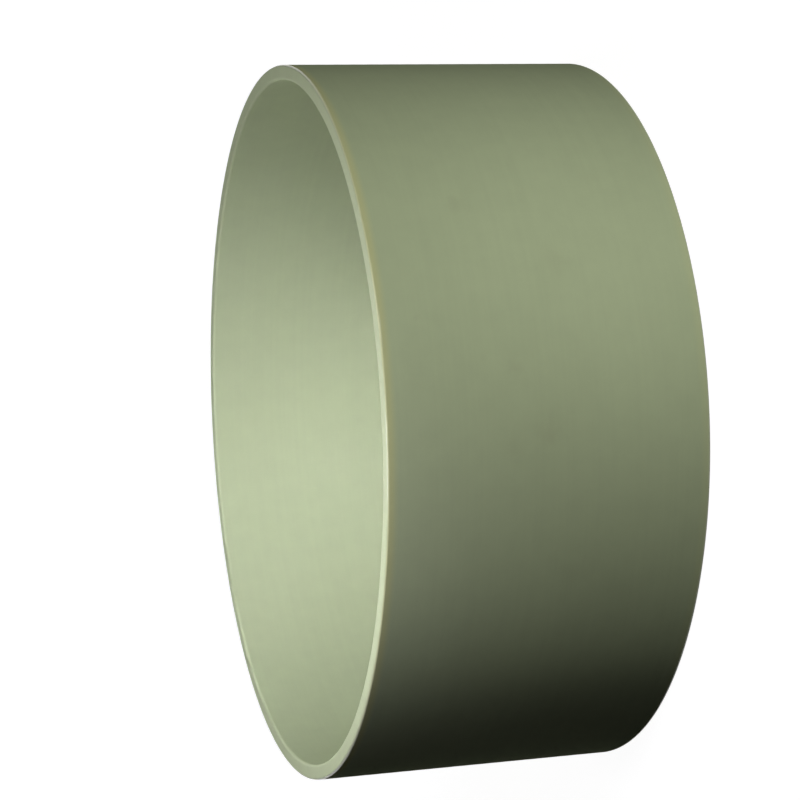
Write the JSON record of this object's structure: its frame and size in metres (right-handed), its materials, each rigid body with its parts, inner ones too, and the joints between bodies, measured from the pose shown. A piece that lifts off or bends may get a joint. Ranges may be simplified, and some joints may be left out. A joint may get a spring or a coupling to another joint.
{
  "type": "ceramic insulator tube",
  "caption": "Short, wide, thin-walled ceramic tube, open right through, with flat ground ends and rounded end edges; insulates, lines or spaces round parts.",
  "frame": {"origin": "centre of the lower end face, on the axis of the tube, where the tube stands on one end", "axes": "+Z along the axis of the tube, from the lower end face to the upper one; the tube is round, so X and Y are free"},
  "size_m": [0.24, 0.24, 0.102],
  "materials": {
    "fired_ceramic": "unglazed, ground to a satin finish, pale celadon"
  },
  "bodies": {
    "root": {"insulator_tube": "fired_ceramic"}
  },
  "joints": []
}
